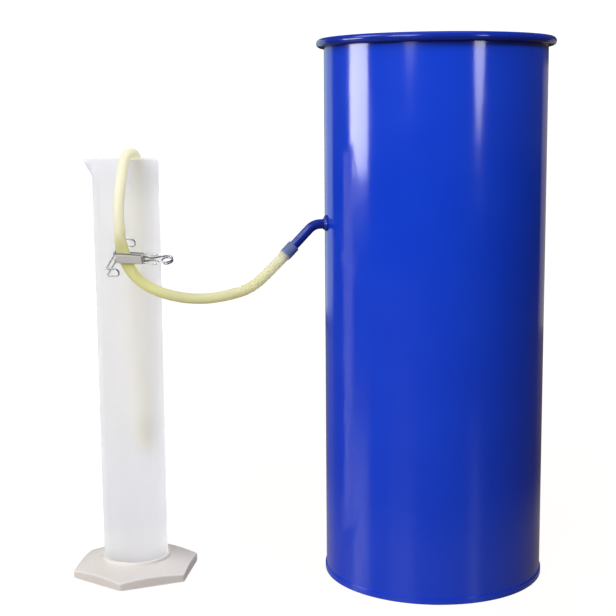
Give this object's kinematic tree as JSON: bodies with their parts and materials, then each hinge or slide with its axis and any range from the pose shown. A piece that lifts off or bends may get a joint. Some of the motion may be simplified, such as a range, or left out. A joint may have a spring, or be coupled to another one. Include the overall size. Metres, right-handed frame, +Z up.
{
  "type": "siphon specific gravity apparatus",
  "caption": "Tall enamelled can with a welded overflow pipe, a latex hose shut by a spring clip, and a plastic measuring cylinder that catches the siphoned water.",
  "frame": {"origin": "middle of the can's bottom face, on the bench", "axes": "+Z up, +X from the measuring cylinder towards the can as seen in the picture, +Y away from the viewer"},
  "size_m": [0.509, 0.2458, 0.5644],
  "materials": {
    "can_enamel": "glossy blue enamel",
    "bare_wire": "drawn wire, hidden in the curl",
    "latex": "smooth natural latex",
    "nickel_wire": "nickel-plated spring wire",
    "nickel_sheet": "nickel-plated sheet",
    "milky_plastic": "milky translucent plastic",
    "foot_plastic": "satin off-white plastic"
  },
  "bodies": {
    "siphon_can": {"can_shell": "can_enamel", "rim_wire": "bare_wire", "can_base": "can_enamel", "siphon_pipe": "can_enamel", "pipe_weld": "can_enamel", "siphon_hose": "latex"},
    "clip_front": {"clip_front_arm": "nickel_wire", "clip_front_jaw": "nickel_sheet"},
    "clip_back": {"clip_back_arm": "nickel_wire", "clip_back_jaw": "nickel_sheet"},
    "measuring_cylinder": {"cylinder_tube": "milky_plastic", "cylinder_foot": "foot_plastic"}
  },
  "joints": [
    {"name": "clip_front_open", "type": "hinge", "parent": "siphon_can", "child": "clip_front", "pos_m": [-0.2728, -0.07678, 0.34631], "axis": [-0.0502, -0.4211, 0.9056], "range_deg": [0, 10], "stiffness_Nm_per_rad": 1.5, "springref_deg": -20.05},
    {"name": "clip_back_open", "type": "hinge", "parent": "siphon_can", "child": "clip_back", "pos_m": [-0.2728, -0.07678, 0.34631], "axis": [-0.0502, -0.4211, 0.9056], "range_deg": [-10, 0], "stiffness_Nm_per_rad": 1.5, "springref_deg": 20.05},
    {"name": "cylinder_turn", "type": "hinge", "parent": "siphon_can", "child": "measuring_cylinder", "pos_m": [-0.3223, -0.0024, 0], "axis": [0, 0, 1], "range_deg": [-180, 45]}
  ],
  "couplings": [
    {"joint": "clip_back_open", "follows": "clip_front_open", "ratio": -1}
  ]
}
